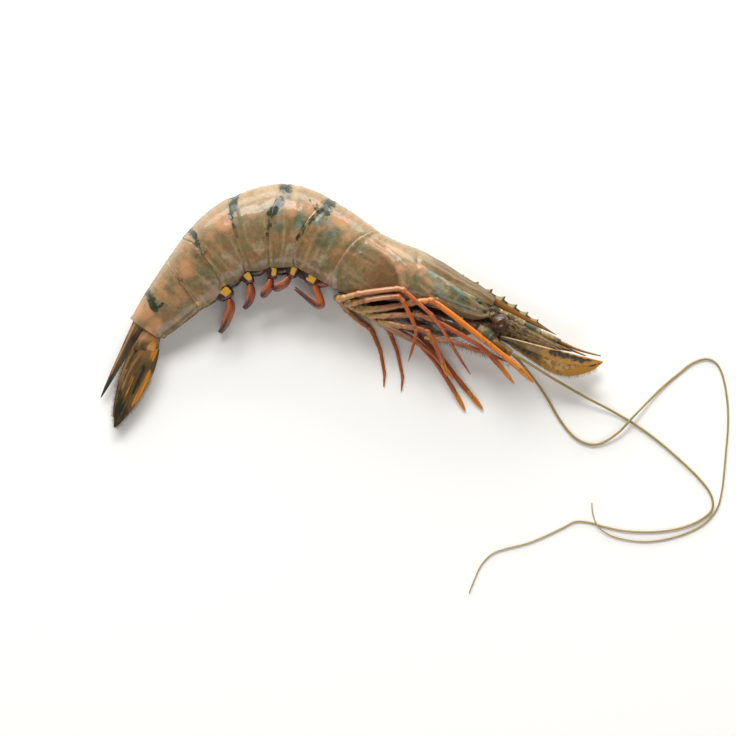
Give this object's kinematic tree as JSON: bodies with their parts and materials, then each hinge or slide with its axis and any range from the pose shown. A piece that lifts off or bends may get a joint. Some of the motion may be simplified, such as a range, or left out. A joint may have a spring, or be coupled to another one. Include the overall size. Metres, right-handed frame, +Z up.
{
  "type": "raw tiger prawn",
  "caption": "Whole raw tiger prawn in its shell with head, legs and long feelers, lying arched on its left side.",
  "frame": {"origin": "middle of the flat spot on which the left flank of the carapace rests, on the surface that the prawn lies on", "axes": "+Z up towards the right flank, +X towards the head, +Y towards the arched back"},
  "size_m": [0.2151, 0.1395, 0.0207],
  "materials": {
    "shell": "wet translucent shell, grey-olive with orange-pink mottling and dark green bands",
    "underside": "wet soft skin and leg roots under the shield",
    "tail_blade": "wet tail blades, dark green with olive streaks and orange edges",
    "scale_blade": "wet amber scale with dark edges",
    "leg": "wet orange-red jointed legs with pale yellow roots",
    "swimmeret": "wet purple-brown swimming legs with yellow patches",
    "feeler": "thin straw-olive feelers",
    "eye": "glossy dark brown eye"
  },
  "bodies": {
    "root": {"carapace": "shell", "thorax": "underside", "segment_1": "shell", "segment_2": "shell", "segment_3": "shell", "segment_4": "shell", "segment_5": "shell", "segment_6": "shell", "telson": "shell", "uropod_stalk_right": "tail_blade", "uropod_exopod_right": "tail_blade", "uropod_endopod_right": "tail_blade", "eye_right": "eye", "eye_stalk_right": "shell", "antenna_base_right": "shell", "antennule_right": "feeler", "maxilliped_right": "leg", "antennal_scale_right": "scale_blade", "antenna_right": "feeler", "swimmeret_1_right": "swimmeret", "swimmeret_2_right": "swimmeret", "swimmeret_3_right": "swimmeret", "swimmeret_4_right": "swimmeret", "swimmeret_5_right": "swimmeret", "leg_1_right": "leg", "leg_2_right": "leg", "leg_3_right": "leg", "leg_4_right": "leg", "leg_5_right": "leg", "uropod_stalk_left": "tail_blade", "uropod_exopod_left": "tail_blade", "uropod_endopod_left": "tail_blade", "eye_left": "eye", "eye_stalk_left": "shell", "antenna_base_left": "shell", "antennule_left": "feeler", "maxilliped_left": "leg", "antennal_scale_left": "scale_blade", "antenna_left": "feeler", "swimmeret_1_left": "swimmeret", "swimmeret_2_left": "swimmeret", "swimmeret_3_left": "swimmeret", "swimmeret_4_left": "swimmeret", "swimmeret_5_left": "swimmeret", "leg_1_left": "leg", "leg_2_left": "leg", "leg_3_left": "leg", "leg_4_left": "leg", "leg_5_left": "leg"}
  },
  "joints": []
}
